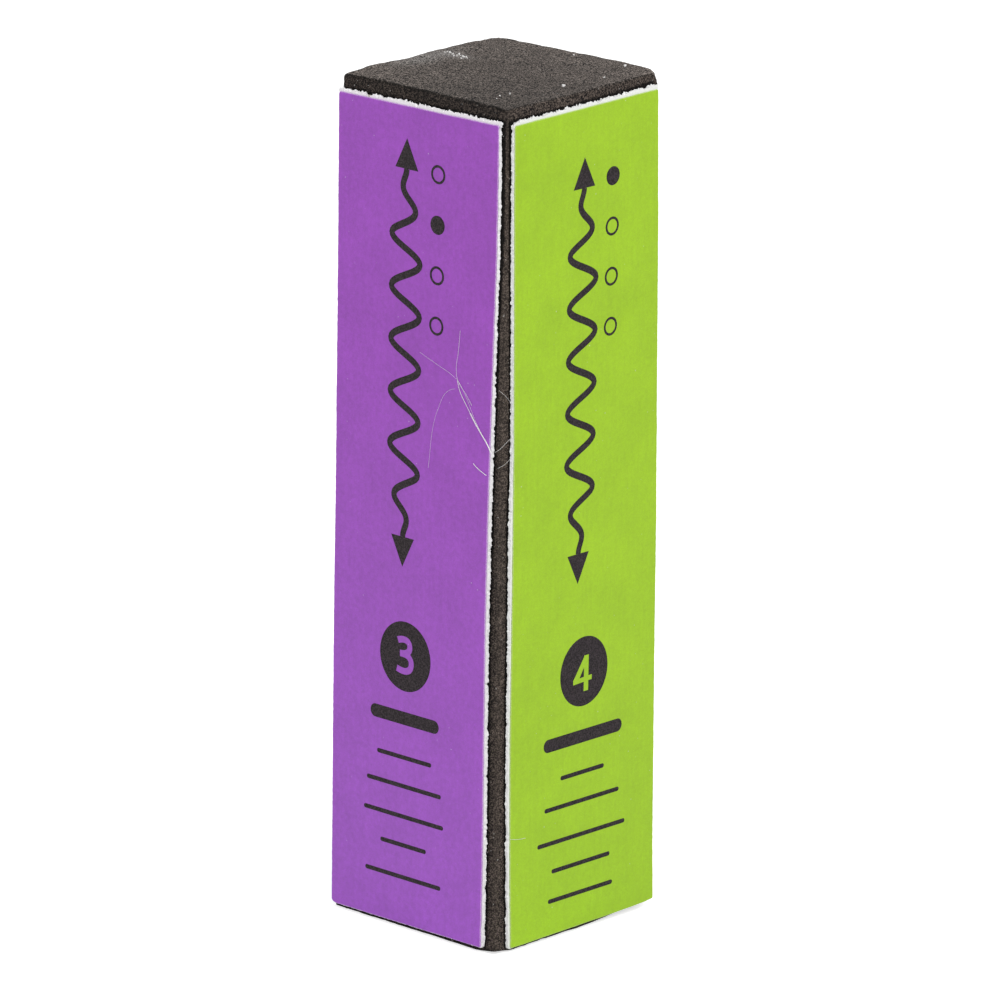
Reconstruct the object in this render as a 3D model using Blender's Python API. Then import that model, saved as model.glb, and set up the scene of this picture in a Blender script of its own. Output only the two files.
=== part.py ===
"""Four-way nail file block, standing on its end.

A square bar of foam carries a strip on each long side: 1 file, 2 smooth, 3 polish, 4 shine.
A strip is a laminate of three layers, from the foam outwards: adhesive film, white backing
and abrasive sheet. One die cuts all three at once, so their walls lie on one slanted cut.
The origin is the middle of the bar's lower end, and +Z runs along the bar.
"""

import math

import bmesh
import bpy
from mathutils import Matrix, Vector

MM = 0.001

# Foam core. Foam gives under the knife, so its four long edges come out with unlike radii.
# Each radius is named by the two sides that meet there.
CORE_SIDE = 24.3 * MM
CORE_LENGTH = 95.0 * MM
SMOOTH_POLISH_EDGE_RADIUS = 0.5 * MM
POLISH_SHINE_EDGE_RADIUS = 1.4 * MM
SHINE_FILE_EDGE_RADIUS = 1.1 * MM
FILE_SMOOTH_EDGE_RADIUS = 2.1 * MM
TOP_EDGE_RADIUS = 0.4 * MM
BASE_EDGE_RADIUS = 0.3 * MM
CORE_EDGE_SEGMENTS = 6

# Strips, each a little smaller than the side that it covers
STRIP_SIDE_MARGIN = 0.70 * MM
STRIP_END_MARGIN = 1.20 * MM
STRIP_CORNER_RADIUS = 0.3 * MM
STRIP_CORNER_SEGMENTS = 5
CUT_SLANT = math.radians(5)

# Layers of a strip, and the glue line that parts each from the next
ADHESIVE_THICKNESS = 0.06 * MM
BACKING_THICKNESS = 0.40 * MM
SHEET_THICKNESS = 0.11 * MM
GLUE_LINE = 0.04 * MM

# The blade drags the soft backing, which stands out past the sheet as a lip, most at the top end.
# The film is trimmed back from the cut, and the sheet's face edge is pressed down.
TOP_LIP = 0.27 * MM
BASE_LIP = 0.05 * MM
SIDE_LIP = 0.10 * MM
ADHESIVE_SET_BACK = 0.30 * MM
PRESSED_EDGE_RADIUS = 0.06 * MM
PRESSED_EDGE_SEGMENTS = 3

# How each strip was cut and laid: the turn of its side about the bar, how far its middle sits to
# the right of and above the middle of that side, and how far its base, right, top and left cuts
# are each turned. Angles are in degrees, counter-clockwise as someone facing the side sees them.
STRIPS = {
    "polish": dict(turn=0, right=-0.52 * MM, above=-0.65 * MM, cuts=(0.3, -0.7, 0.65, 0.0)),
    "shine": dict(turn=90, right=0.49 * MM, above=-0.51 * MM, cuts=(0.55, 0.9, 0.9, 0.6)),
    "file": dict(turn=180, right=0.25 * MM, above=-0.25 * MM, cuts=(0.4, -0.1, 0.2, -0.1)),
    "smooth": dict(turn=270, right=-0.2 * MM, above=-0.36 * MM, cuts=(-0.4, -0.2, -0.4, 0.1)),
}

# Colours are linear RGB
SHEET_COLOURS = {
    "file": (0.74, 0.065, 0.24),
    "smooth": (0.015, 0.37, 0.52),
    "polish": (0.37, 0.08, 0.55),
    "shine": (0.40, 0.65, 0.02),
}
FOAM_COLOUR = (0.060, 0.052, 0.048)
BACKING_COLOUR = (0.84, 0.84, 0.83)
ADHESIVE_COLOUR = (0.75, 0.72, 0.62)


def material(name, colour, roughness):
    """A plain Principled material."""
    made = bpy.data.materials.new(name)
    made.use_nodes = True
    shader = made.node_tree.nodes["Principled BSDF"]
    shader.inputs["Base Color"].default_value = (*colour, 1.0)
    shader.inputs["Roughness"].default_value = roughness
    shader.inputs["Metallic"].default_value = 0.0
    return made


def finished_object(name, bm, surface):
    """Closes a bmesh into an object whose rounded edges are shaded smooth."""
    bmesh.ops.recalc_face_normals(bm, faces=bm.faces)
    mesh = bpy.data.meshes.new(name)
    bm.to_mesh(mesh)
    bm.free()
    mesh.shade_smooth()
    mesh.set_sharp_from_angle(angle=math.radians(30))
    mesh.materials.append(surface)
    made = bpy.data.objects.new(name, mesh)
    bpy.context.scene.collection.objects.link(made)
    return made


def core_edge_radius(edge):
    """The radius of one edge of the bar, told by the way it runs and the side that it lies on."""
    start, end = (vert.co for vert in edge.verts)
    run = end - start
    middle = (start + end) / 2
    if abs(run.z) < abs(run.x) + abs(run.y):
        return TOP_EDGE_RADIUS if middle.z > CORE_LENGTH / 2 else BASE_EDGE_RADIUS
    if middle.x < 0:
        return SMOOTH_POLISH_EDGE_RADIUS if middle.y < 0 else FILE_SMOOTH_EDGE_RADIUS
    return POLISH_SHINE_EDGE_RADIUS if middle.y < 0 else SHINE_FILE_EDGE_RADIUS


def foam_core():
    """The square bar. One Bevel rounds every edge to its own radius, read from its bevel weight."""
    bm = bmesh.new()
    weight = bm.edges.layers.float.new("bevel_weight_edge")
    place = Matrix.Translation((0.0, 0.0, CORE_LENGTH / 2))
    size = Matrix.Diagonal((CORE_SIDE, CORE_SIDE, CORE_LENGTH, 1.0))
    bmesh.ops.create_cube(bm, size=1.0, matrix=place @ size)
    radii = {edge: core_edge_radius(edge) for edge in bm.edges}
    widest = max(radii.values())
    for edge, radius in radii.items():
        edge[weight] = radius / widest
    core = finished_object("foam_core", bm, material("foam", FOAM_COLOUR, 0.9))
    rounding = core.modifiers.new("rounded_edges", "BEVEL")
    rounding.limit_method = "WEIGHT"
    rounding.width = widest
    rounding.segments = CORE_EDGE_SEGMENTS
    rounding.use_clamp_overlap = False
    return core


def strip_outline(strip, grow, height):
    """A strip's outline at a height above its side of the core, each of its cuts moved out by grow.

    Four straight cuts bound it: base, right, top and left. Each is turned by its own angle, so a
    corner lies where two cuts meet, and an arc rounds it.
    """
    half_width = CORE_SIDE / 2 - STRIP_SIDE_MARGIN - STRIP_CORNER_RADIUS
    half_length = CORE_LENGTH / 2 - STRIP_END_MARGIN - STRIP_CORNER_RADIUS
    base, right, top, left = strip["cuts"]
    cuts = [
        (math.radians(base - 90), half_length + grow["base"]),
        (math.radians(right), half_width + grow["side"]),
        (math.radians(top + 90), half_length + grow["top"]),
        (math.radians(left + 180), half_width + grow["side"]),
        (math.radians(base + 270), half_length + grow["base"]),
    ]
    points = []
    for (angle_a, reach_a), (angle_b, reach_b) in zip(cuts, cuts[1:]):
        spread = math.sin(angle_b - angle_a)
        centre = Vector((
            (reach_a * math.sin(angle_b) - reach_b * math.sin(angle_a)) / spread,
            (reach_b * math.cos(angle_a) - reach_a * math.cos(angle_b)) / spread,
            height,
        ))
        for step in range(STRIP_CORNER_SEGMENTS + 1):
            angle = angle_a + (angle_b - angle_a) * step / STRIP_CORNER_SEGMENTS
            points.append(centre + STRIP_CORNER_RADIUS * Vector((math.cos(angle), math.sin(angle), 0.0)))
    return points


def strip_layer(name, strip, profile, side, surface):
    """One layer, lofted through the outlines that profile gives as pairs of height and growth."""
    bm = bmesh.new()
    rings = []
    for height, grow in profile:
        verts = [bm.verts.new(point) for point in strip_outline(strip, grow, height)]
        rings.append([bm.edges.new(pair) for pair in zip(verts, verts[1:] + verts[:1])])
    for inner, outer in zip(rings, rings[1:]):
        bmesh.ops.bridge_loops(bm, edges=inner + outer)
    bmesh.ops.contextual_create(bm, geom=rings[0])
    bmesh.ops.contextual_create(bm, geom=rings[-1])
    layer = finished_object(name, bm, surface)
    layer.parent = side
    layer.location = (strip["right"], strip["above"], 0.0)
    return layer


def strip_side(name, strip):
    """An empty in the middle of one side: its Z axis points out of the core and its Y axis up."""
    turn = math.radians(strip["turn"])
    side = bpy.data.objects.new(name + "_side", None)
    side.rotation_euler = (math.pi / 2, 0.0, turn)
    outward = Vector((math.sin(turn), -math.cos(turn), 0.0))
    side.location = outward * CORE_SIDE / 2 + Vector((0.0, 0.0, CORE_LENGTH / 2))
    bpy.context.scene.collection.objects.link(side)
    return side


def laminated_strip(name, strip, adhesive, backing):
    """Adhesive film, backing and sheet, one above the other, their walls on one slanted cut."""
    film_base = GLUE_LINE
    film_top = film_base + ADHESIVE_THICKNESS
    backing_base = film_top + GLUE_LINE
    backing_top = backing_base + BACKING_THICKNESS
    sheet_base = backing_top + GLUE_LINE
    sheet_top = sheet_base + SHEET_THICKNESS

    def cut(height, top=0.0, base=0.0, side=0.0):
        """How far each cut stands out at a height, the slant and the given lips together."""
        slant = (sheet_top - height) * math.tan(CUT_SLANT)
        return {"top": slant + top, "base": slant + base, "side": slant + side}

    film_lips = dict(top=TOP_LIP - ADHESIVE_SET_BACK, base=-ADHESIVE_SET_BACK, side=-ADHESIVE_SET_BACK)
    film_profile = [(height, cut(height, **film_lips)) for height in (film_base, film_top)]
    backing_lips = dict(top=TOP_LIP, base=BASE_LIP, side=SIDE_LIP)
    backing_profile = [(height, cut(height, **backing_lips)) for height in (backing_base, backing_top)]
    sheet_profile = [(sheet_base, cut(sheet_base))]
    shoulder = sheet_top - PRESSED_EDGE_RADIUS
    for step in range(PRESSED_EDGE_SEGMENTS + 1):
        angle = math.pi / 2 * step / PRESSED_EDGE_SEGMENTS
        drawn_in = PRESSED_EDGE_RADIUS * (math.cos(angle) - 1)
        height = shoulder + PRESSED_EDGE_RADIUS * math.sin(angle)
        sheet_profile.append((height, cut(shoulder, top=drawn_in, base=drawn_in, side=drawn_in)))

    side = strip_side(name, strip)
    sheet = material(name + "_colour", SHEET_COLOURS[name], 0.5)
    strip_layer(name + "_adhesive", strip, film_profile, side, adhesive)
    strip_layer(name + "_backing", strip, backing_profile, side, backing)
    strip_layer(name + "_sheet", strip, sheet_profile, side, sheet)


for old in list(bpy.data.objects):
    bpy.data.objects.remove(old)

foam_core()
film_surface = material("adhesive_film", ADHESIVE_COLOUR, 0.4)
backing_surface = material("white_backing", BACKING_COLOUR, 0.85)
for strip_name, laid in STRIPS.items():
    laminated_strip(strip_name, laid, film_surface, backing_surface)
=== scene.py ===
import math
import random

import bmesh
import bpy
import numpy as np
from mathutils import Euler, Matrix, Vector, noise
from mathutils.geometry import interpolate_bezier


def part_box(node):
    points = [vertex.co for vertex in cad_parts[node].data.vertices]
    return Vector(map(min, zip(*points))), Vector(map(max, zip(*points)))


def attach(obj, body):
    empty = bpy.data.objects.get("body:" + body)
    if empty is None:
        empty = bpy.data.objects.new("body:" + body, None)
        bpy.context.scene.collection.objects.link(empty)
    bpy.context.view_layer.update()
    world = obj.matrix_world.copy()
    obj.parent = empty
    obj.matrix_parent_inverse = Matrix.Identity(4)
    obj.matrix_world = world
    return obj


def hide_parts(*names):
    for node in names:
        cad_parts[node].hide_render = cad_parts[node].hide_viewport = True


# The looks of a four-way nail file block that stands on its end: a foam bar with a laminated
# abrasive strip on each long side, 1 file, 2 smooth, 3 polish and 4 shine. Lengths are in metres.
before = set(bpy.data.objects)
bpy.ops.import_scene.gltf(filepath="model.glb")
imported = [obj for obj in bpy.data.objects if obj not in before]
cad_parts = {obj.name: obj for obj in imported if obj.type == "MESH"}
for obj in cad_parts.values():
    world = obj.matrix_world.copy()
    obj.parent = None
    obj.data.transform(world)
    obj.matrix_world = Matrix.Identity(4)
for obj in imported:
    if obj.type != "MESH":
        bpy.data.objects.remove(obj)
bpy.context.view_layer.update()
MM = 0.001


# White backings. Each is a soft white plastic foil that carries an abrasive sheet. The die drags
# it, so its cut edge is ragged with short fibres and stands out past the sheet as a white line.
# A strip's cuts are given in mm as someone facing its side sees them: x to the right and y up from
# the side's middle. Its long cuts are places x at heights y, its end cuts places y at x, and a lip
# is how far the backing stands out past a cut. Its corners are radii, anticlockwise from the lower
# left one. Depths of the torn edge are in metres and sizes of its noise in mm; RAGGED is how torn
# it is at heights y.
core_low, core_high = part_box("foam_core")
CORE_SIDE = core_high.x - core_low.x
CORE_LENGTH = core_high.z - core_low.z
STRIPS = {
    "polish": dict(
        turn=0,
        left=((-46, -12.06), (-30, -12.1), (-12, -12.13), (0, -12.04), (30, -12.02), (46, -12.1)),
        right=(
            (-46, 10.58), (-38, 10.68), (-10, 10.59), (3, 10.79),
            (16, 11.1), (24, 11.3), (31, 11.53), (46, 11.6),
        ),
        base=((-12, -46.93), (12, -46.81)),
        top=((-12, 45.44), (12, 45.72)),
        left_lip=((-46, 0.03), (46, 0.03)),
        right_lip=((-46, 0.17), (10, 0.16), (25, 0.06), (46, 0.02)),
        top_lip=((-12, 0.28), (12, 0.28)),
        corners=(0.65, 0.25, 0.2, 0.3),
    ),
    "shine": dict(
        turn=90,
        left=(
            (-46, -10.33), (-38, -10.58), (-24, -10.83), (-4, -10.85),
            (10, -10.93), (24, -11.17), (36, -11.42), (46, -11.55),
        ),
        right=(
            (-46, 12.77), (-40, 12.59), (-23, 12.36), (-12, 12.22),
            (-5, 12.2), (0, 12.11), (11, 11.9), (31, 11.54), (46, 11.12),
        ),
        base=((-12, -47.0), (9, -46.78), (12, -46.5)),
        top=((-12, 45.67), (12, 46.05)),
        left_lip=((-46, 0.21), (-12, 0.18), (0, 0.28), (8, 0.08), (46, 0.0)),
        right_lip=((-46, 0.02), (46, 0.02)),
        top_lip=((-12, 0.28), (2, 0.31), (9, 0.40), (12, 0.46)),
        corners=(0.25, 0.12, 0.3, 0.35),
    ),
    "file": dict(
        turn=180,
        left=((-46, -11.2), (-20, -11.32), (5, -11.2), (46, -11.08)),
        right=((-46, 11.6), (-15, 11.68), (20, 11.6), (46, 11.78)),
        base=((-12, -46.6), (12, -46.45)),
        top=((-12, 46.0), (12, 46.1)),
        left_lip=((-46, 0.1), (46, 0.14)),
        right_lip=((-46, 0.08), (46, 0.16)),
        top_lip=((-12, 0.2), (12, 0.24)),
        corners=(0.3, 0.25, 0.3, 0.2),
    ),
    "smooth": dict(
        turn=270,
        left=((-46, -11.68), (-10, -11.6), (18, -11.72), (46, -11.55)),
        right=((-46, 11.1), (-18, 11.22), (12, 11.3), (46, 11.36)),
        base=((-12, -46.62), (12, -46.8)),
        top=((-12, 46.05), (12, 45.88)),
        left_lip=((-46, 0.12), (46, 0.06)),
        right_lip=((-46, 0.16), (46, 0.09)),
        top_lip=((-12, 0.26), (12, 0.2)),
        corners=(0.25, 0.3, 0.25, 0.3),
    ),
}
BACKING_BASE = 0.14 * MM
BACKING_THICKNESS = 0.40 * MM
BACKING_STEP = 0.10 * MM
BACKING_LAYERS = 3
BASE_LIP = 0.05 * MM
CORNER_SEGMENTS = 5
SALT_STEP = 40.0
TOOTH_DEPTH = 0.15 * MM
TOOTH_SIZE = 0.26
FACE_TOOTH = 0.1
DRAG_DEPTH = 0.16 * MM
DRAG_SIZE = 1.1
BITE_DEPTH = 0.6 * MM
BITE_SIZE = 0.5
BITE_ABOVE = 0.3
FIBRE_DEPTH = 0.35 * MM
FIBRE_SIZE = 0.20
FIBRE_ABOVE = 0.2
RAGGED = ((-46.6, 0.2), (-45.8, 0.7), (44.8, 0.7), (45.3, 1.4))
SHARP_ANGLE = math.radians(35)
NOISE_LOW, NOISE_HIGH = 0.3, 0.7
BACKING_GRAIN = 0.15 * MM
BACKING_DUST = 1.6 * MM
GRAIN_SHADE = 0.97
DUSTY_SHADE = 0.96
BACKING_WHITES = {
    "polish": (0.99, 0.97, 0.99),
    "shine": (0.98, 0.985, 0.97),
    "smooth": (0.96, 0.97, 0.98),
    "file": (0.99, 0.96, 0.965),
}


def linked(name, data):
    """A new object in the scene, made of a mesh, curve, light or camera."""
    made = bpy.data.objects.new(name, data)
    bpy.context.scene.collection.objects.link(made)
    return made


def mesh_object(name, bm):
    """Closes a bmesh into an object in the scene."""
    mesh = bpy.data.meshes.new(name)
    bm.to_mesh(mesh)
    bm.free()
    return linked(name, mesh)


def finished_piece(name, bm, surface, stands_for=()):
    """Makes a closed bmesh a piece of the object, with its normals out and its edges smooth."""
    bmesh.ops.recalc_face_normals(bm, faces=bm.faces)
    piece = mesh_object(name, bm)
    piece.data.shade_smooth()
    piece.data.set_sharp_from_angle(angle=SHARP_ANGLE)
    piece.data.materials.append(surface)
    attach(piece, "root")
    if stands_for:
        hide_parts(*stands_for)
    return piece


def new_surface(name, **fixed):
    """A material whose Principled shader has the given sockets set, and that shader."""
    surface = bpy.data.materials.new(name)
    surface.use_nodes = True
    shader = surface.node_tree.nodes["Principled BSDF"]
    for socket, value in fixed.items():
        shader.inputs[socket.replace("_", " ")].default_value = value
    return surface, shader


def node(surface, kind, inputs, **settings):
    """Adds a node. inputs gives each socket a value, or the output that feeds it."""
    made = surface.node_tree.nodes.new("ShaderNode" + kind)
    for name, value in settings.items():
        setattr(made, name, value)
    for socket, value in inputs.items():
        if isinstance(value, bpy.types.NodeSocket):
            surface.node_tree.links.new(value, made.inputs[socket])
        else:
            made.inputs[socket].default_value = value
    return made


def object_place(surface, stretch=(1.0, 1.0, 1.0)):
    """Object coordinates, squeezed by stretch so that a pattern runs longer along an axis."""
    place = node(surface, "TexCoord", {}).outputs["Object"]
    return node(surface, "Mapping", {"Vector": place, "Scale": stretch}).outputs[0]


def attribute(surface, name):
    """A number that the mesh carries at its vertices."""
    return node(surface, "Attribute", {}, attribute_name=name).outputs["Fac"]


def speckle(surface, place, size, detail=2.0, roughness=0.5):
    """Noise from 0 to 1 whose spots are about size across."""
    inputs = {"Vector": place, "Scale": 1 / size, "Detail": detail, "Roughness": roughness}
    return node(surface, "TexNoise", inputs).outputs["Fac"]


def spread(surface, factor, low, high, to_low=0.0, to_high=1.0):
    """Maps the part of factor between low and high onto another range, and clamps it there."""
    inputs = {"Value": factor, "From Min": low, "From Max": high, "To Min": to_low, "To Max": to_high}
    return node(surface, "MapRange", inputs).outputs[0]


def mixed(surface, factor, low, high, blend_type="MIX"):
    """Mixes two colours, each a value or an output."""
    low, high = ((*colour, 1.0) if isinstance(colour, tuple) else colour for colour in (low, high))
    inputs = {0: factor, 6: low, 7: high}
    return node(surface, "Mix", inputs, data_type="RGBA", blend_type=blend_type).outputs[2]


def combined(surface, first, second, operation="MULTIPLY"):
    """One number worked out from two."""
    return node(surface, "Math", {0: first, 1: second}, operation=operation).outputs[0]


def varied(surface, shade, spots, low, high):
    """A shade times a noise, whose usual range is brought to run from low to high."""
    return combined(surface, shade, spread(surface, spots, NOISE_LOW, NOISE_HIGH, low, high))


def shaded(surface, colour, shade):
    """A colour made darker or paler by a number."""
    grey = node(surface, "CombineColor", {0: shade, 1: shade, 2: shade}).outputs[0]
    return mixed(surface, 1.0, colour, grey, "MULTIPLY")


def raised(surface, height, depth, under=None):
    """A bump of that depth in metres, on top of another."""
    inputs = {"Height": height, "Distance": depth}
    if under:
        inputs["Normal"] = under
    return node(surface, "Bump", inputs).outputs[0]


def painted(surface, shader, colour, bump=None):
    """Feeds a material's shader its colour and its bump. Gives the material."""
    surface.node_tree.links.new(colour, shader.inputs["Base Color"])
    if bump:
        surface.node_tree.links.new(bump, shader.inputs["Normal"])
    return surface


def side_frame(name):
    """Places the frame of a strip: its Z axis points out of the core's side and its Y axis up."""
    turn = math.radians(STRIPS[name]["turn"])
    outward = Vector((math.sin(turn), -math.cos(turn), 0.0))
    middle = outward * CORE_SIDE / 2 + Vector((0.0, 0.0, CORE_LENGTH / 2))
    return Matrix.Translation(middle) @ Euler((math.pi / 2, 0.0, turn)).to_matrix().to_4x4()


def reading(knots, place):
    """Reads a cut's place in metres between the knots in mm that it was measured at."""
    places, values = zip(*knots)
    return float(np.interp(place / MM, places, values)) * MM


def cut_blank(strip):
    """A backing's flat outline as one face: four cuts with rounded corners, in short steps."""
    bm = bmesh.new()
    corner_places = []
    for end, side in (("base", "left"), ("base", "right"), ("top", "right"), ("top", "left")):
        x = strip[side][0 if end == "base" else -1][1] * MM
        corner_places.append(Vector((x, reading(strip[end], x), BACKING_BASE)))
    verts = [bm.verts.new(place) for place in corner_places]
    bm.faces.new(verts)
    for vert, radius in zip(verts, strip["corners"]):
        bmesh.ops.bevel(
            bm, geom=[vert], offset=radius * MM, segments=CORNER_SEGMENTS, profile=0.5,
            affect="VERTICES", material=-1,
        )
    for edge in [edge for edge in bm.edges if edge.calc_length() > CORE_SIDE / 2]:
        cuts = round(edge.calc_length() / BACKING_STEP) - 1
        bmesh.ops.subdivide_edges(bm, edges=[edge], cuts=cuts)
    base_left, base_right, top_right, top_left = corner_places
    for vert in bm.verts:
        right = vert.co.x > 0
        low, high = (base_right, top_right) if right else (base_left, top_left)
        share = (vert.co.y - low.y) / (high.y - low.y)
        straight = low.x + (high.x - low.x) * share
        vert.co.x += reading(strip["right" if right else "left"], vert.co.y) - straight
        lip = reading(strip["right_lip" if right else "left_lip"], vert.co.y)
        vert.co.x += lip if right else -lip
        vert.co.y += reading(strip["top_lip"], vert.co.x) if vert.co.y > 0 else -BASE_LIP
    return bm


def thickened(bm, faces, thickness):
    """Extrudes flat faces outwards into a slab."""
    made = bmesh.ops.extrude_face_region(bm, geom=faces)
    risen = [item for item in made["geom"] if isinstance(item, bmesh.types.BMVert)]
    bmesh.ops.translate(bm, vec=(0.0, 0.0, thickness), verts=risen)


def wall_directions(bm):
    """For each vertex of the walls, the way out of the strip, level with its faces."""
    bmesh.ops.recalc_face_normals(bm, faces=bm.faces)
    bm.normal_update()
    directions = {}
    for vert in bm.verts:
        out = Vector()
        for face in vert.link_faces:
            if abs(face.normal.z) < 0.5:
                out += face.normal
        out.z = 0.0
        if out.length:
            directions[vert] = out.normalized()
    return directions


def backing_blank(name):
    """One backing, with the wall of its cut torn by the die."""
    bm = cut_blank(STRIPS[name])
    thickened(bm, bm.faces[:], BACKING_THICKNESS)
    upright = [
        edge for edge in bm.edges
        if abs(edge.verts[0].co.z - edge.verts[1].co.z) > BACKING_THICKNESS / 2
    ]
    bmesh.ops.subdivide_edges(bm, edges=upright, cuts=BACKING_LAYERS - 1)
    salt = Vector((0.0, 0.0, SALT_STEP * STRIPS[name]["turn"]))
    for vert, out in wall_directions(bm).items():
        place = vert.co / MM
        flat = Vector((place.x, place.y, 0.0))
        torn = TOOTH_DEPTH * noise.noise(place / TOOTH_SIZE + salt)
        torn += DRAG_DEPTH * noise.noise(flat / DRAG_SIZE + salt)
        torn -= BITE_DEPTH * max(0.0, noise.noise(flat / BITE_SIZE - salt) - BITE_ABOVE)
        torn += FIBRE_DEPTH * max(0.0, noise.noise(place / FIBRE_SIZE - salt) - FIBRE_ABOVE)
        vert.co += out * torn * reading(RAGGED, vert.co.y) / MM
        vert.co.z += FACE_TOOTH * TOOTH_DEPTH * noise.noise(flat / TOOTH_SIZE - salt)
        vert.co.z = max(vert.co.z, BACKING_BASE)
    bmesh.ops.transform(bm, matrix=side_frame(name), verts=bm.verts)
    return bm


def backing_surface(name):
    """White foil that lets a hint of its sheet's colour through, with a fibrous cut edge."""
    surface, shader = new_surface(name + "_white", Roughness=0.7, Specular_IOR_Level=0.3)
    place = object_place(surface)
    fibres = speckle(surface, place, BACKING_GRAIN, 2.0, 0.6)
    dust = speckle(surface, place, BACKING_DUST, 3.0, 0.6)
    shade = spread(surface, fibres, 0.35, 0.55, GRAIN_SHADE, 1.0)
    shade = combined(surface, shade, spread(surface, dust, 0.52, 0.75, 1.0, DUSTY_SHADE))
    colour = shaded(surface, BACKING_WHITES[name], shade)
    return painted(surface, shader, colour, raised(surface, fibres, 0.02 * MM))


for name in STRIPS:
    foil = backing_blank(name)
    finished_piece(name + "_foil", foil, backing_surface(name), [name + "_backing"])


# Abrasive sheets. Each is a printed film coated with grit: coarse on the file side, finer on the
# smooth side, and a satin film with almost no grit on the polish and shine sides. It is cut with
# its backing, so its rim is pressed down, and a little paler where the colour cracks.
SHEET_BASE = 0.58 * MM
SHEET_THICKNESS = 0.11 * MM
SHEET_TOP = SHEET_BASE + SHEET_THICKNESS
SHEET_WIDTH = 23.0 * MM
SHEET_LENGTH = 92.5 * MM
SHEET_STEP_ALONG = 0.2 * MM
SHEET_STEP_ACROSS = 1.5 * MM
SHEET_RINGS = (0.0, 0.012, 0.03, 0.06, 0.11, 0.18, 0.3, 0.5, 0.8, 1.2, 2.0)
PRESSED_EDGE_RADIUS = 0.06 * MM
SHEET_SALT = 11.0
WANDER = 0.05 * MM
WANDER_SIZE = 0.45
SLOW_WANDER_SIZE = 2.2
SLOW_WANDER_SHARE = 0.7
WANDER_REACH = 0.12 * MM
FAR_FROM_EDGE = 3.0
MOTTLE_SIZE = 5.0 * MM
CLOUD_SIZE = 0.45 * MM
STREAK_WIDTH = 0.35 * MM
SPECK_SIZE = 0.30 * MM
SPECK_COLOUR = (0.85, 0.82, 0.86)
# A sheet's colour runs from upper at the top to lower at the foot, which is paler by painted light bounced
# from the floor.
SHEETS = {
    "polish": dict(
        upper=(0.348, 0.066, 0.530), lower=(0.365, 0.088, 0.580), rim=(0.78, 0.55, 0.88),
        roughness=0.45, gloss=0.45, clouds=0.08, grit=0.10, coarse=0.0,
    ),
    "shine": dict(
        upper=(0.368, 0.620, 0.004), lower=(0.366, 0.618, 0.006), rim=(0.60, 0.76, 0.30),
        roughness=0.42, gloss=0.36, clouds=0.04, grit=0.10, coarse=0.0,
    ),
    "smooth": dict(
        upper=(0.015, 0.350, 0.500), lower=(0.018, 0.360, 0.510), rim=(0.58, 0.76, 0.83),
        roughness=0.65, gloss=0.4, clouds=0.08, grit=0.16, coarse=0.45,
    ),
    "file": dict(
        upper=(0.700, 0.060, 0.225), lower=(0.710, 0.066, 0.232), rim=(0.83, 0.58, 0.66),
        roughness=0.75, gloss=0.4, clouds=0.08, grit=0.24, coarse=1.0,
    ),
}


def ring_places(length, step):
    """Shares of a length, close together near its two ends and about step apart between them."""
    near = [ring * MM / length for ring in SHEET_RINGS]
    count = max(2, round((1 - 2 * near[-1]) * length / step))
    between = [near[-1] + (1 - 2 * near[-1]) * part / count for part in range(1, count)]
    return near + between + [1 - share for share in reversed(near)]


def rounded_in(across, along, radius):
    """Moves a place inside a square corner onto its rounded corner. Gives its distances again."""
    if across >= radius or along >= radius:
        return across, along
    p, q = 1 - across / radius, 1 - along / radius
    return radius * (1 - p * math.sqrt(1 - q * q / 2)), radius * (1 - q * math.sqrt(1 - p * p / 2))


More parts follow.
